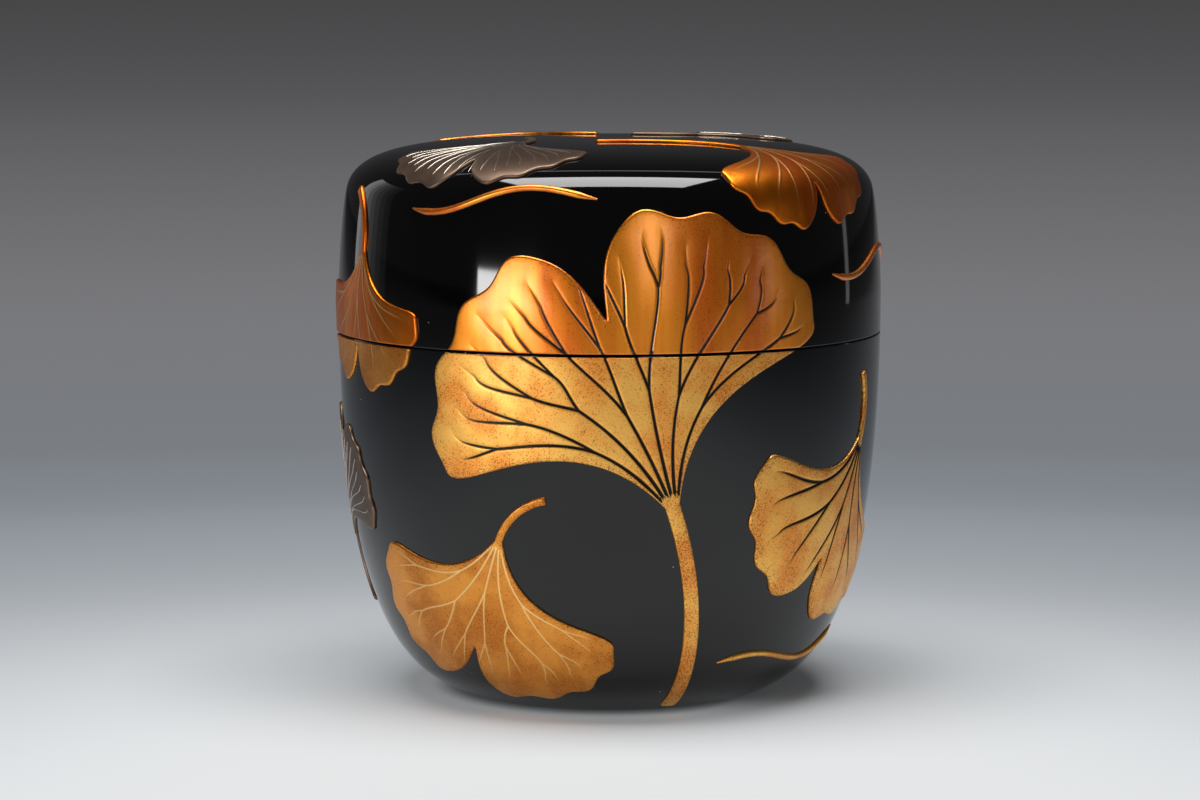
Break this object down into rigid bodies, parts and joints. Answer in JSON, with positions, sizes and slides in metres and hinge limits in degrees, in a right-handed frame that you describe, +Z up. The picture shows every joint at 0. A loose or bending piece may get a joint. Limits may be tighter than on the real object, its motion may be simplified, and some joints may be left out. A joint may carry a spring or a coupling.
{
  "type": "natsume tea caddy",
  "caption": "Round lacquered tea caddy: a turned body with a flush lift-off lid over a thin upstand, decorated all round with raised gold and pewter fan leaves.",
  "frame": {"origin": "centre of the foot ring, on the surface the caddy stands on", "axes": "+Z up along the turning axis, -Y towards the front, where the great fan crosses the seam, +X to the right of the front"},
  "size_m": [0.0725, 0.073, 0.0736],
  "materials": {
    "black_lacquer": "gloss",
    "gold_on_lid": "satin",
    "gold_on_body": "satin",
    "pewter": "satin"
  },
  "bodies": {
    "body": {"body": "black_lacquer", "body_great_fan": "gold_on_body", "body_left_fan": "gold_on_body", "body_foot_fan": "gold_on_body", "body_right_fan": "gold_on_body", "body_side_fan": "pewter", "body_back_fan": "gold_on_body", "body_far_fan": "pewter", "body_low_fan": "gold_on_body", "body_front_stream": "gold_on_body", "body_back_stream": "gold_on_body"},
    "lid": {"lid": "black_lacquer", "lid_great_fan": "gold_on_lid", "lid_left_fan": "gold_on_lid", "lid_back_fan": "gold_on_lid", "lid_shoulder_fan": "gold_on_lid", "lid_crown_fan": "pewter", "lid_rear_fan": "gold_on_lid", "lid_top_fan": "pewter", "lid_left_stream": "gold_on_lid", "lid_right_stream": "gold_on_lid", "lid_far_stream": "gold_on_lid"}
  },
  "joints": [
    {"name": "lid_lift", "type": "slide", "parent": "body", "child": "lid", "axis": [0, 0, 1], "range_m": [0, 0.07]}
  ]
}
